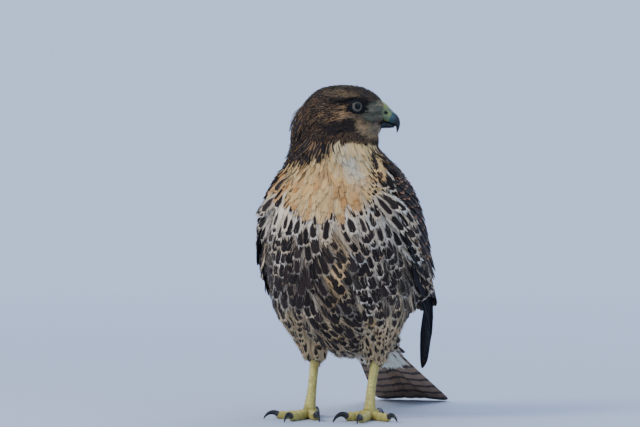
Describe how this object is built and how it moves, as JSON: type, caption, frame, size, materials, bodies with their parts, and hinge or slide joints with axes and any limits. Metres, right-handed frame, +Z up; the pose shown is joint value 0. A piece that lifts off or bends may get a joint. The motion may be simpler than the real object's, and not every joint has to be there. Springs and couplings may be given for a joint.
{
  "type": "red-tailed hawk",
  "caption": "Life-size standing bird of prey in first-year plumage, upright on both feet with its tail tip on the floor and its head turned to its left.",
  "frame": {"origin": "on the floor, at the middle of the bounding box", "axes": "+Z up, the bird's chest faces -Y, its left side is +X, and its head is turned to look along +X"},
  "size_m": [0.1862, 0.3489, 0.3499],
  "materials": {
    "breast_feathers": "soft pale feathers with dark brown spots",
    "head_feathers": "dark brown feathers with buff streaks",
    "wing_feathers": "dark brown feathers with pale edges",
    "tail_feathers": "grey-brown feathers with narrow dark bands",
    "horn": "smooth dark horn",
    "cere": "waxy yellow-green skin",
    "leg_skin": "scaled dull yellow skin",
    "eye": "wet pale grey iris with a black pupil"
  },
  "bodies": {
    "root": {"bill_lower": "horn", "bill_upper": "horn", "cere": "cere", "claw_hind_left": "horn", "claw_hind_right": "horn", "claw_inner_left": "horn", "claw_inner_right": "horn", "claw_middle_left": "horn", "claw_middle_right": "horn", "claw_outer_left": "horn", "claw_outer_right": "horn", "eye_left": "eye", "eye_right": "eye", "head": "head_feathers", "neck": "head_feathers", "shank_left": "leg_skin", "shank_right": "leg_skin", "tail": "tail_feathers", "thigh_left": "breast_feathers", "thigh_right": "breast_feathers", "toe_hind_left": "leg_skin", "toe_hind_right": "leg_skin", "toe_inner_left": "leg_skin", "toe_inner_right": "leg_skin", "toe_middle_left": "leg_skin", "toe_middle_right": "leg_skin", "toe_outer_left": "leg_skin", "toe_outer_right": "leg_skin", "torso": "breast_feathers", "wing_left": "wing_feathers", "wing_right": "wing_feathers"}
  },
  "joints": []
}
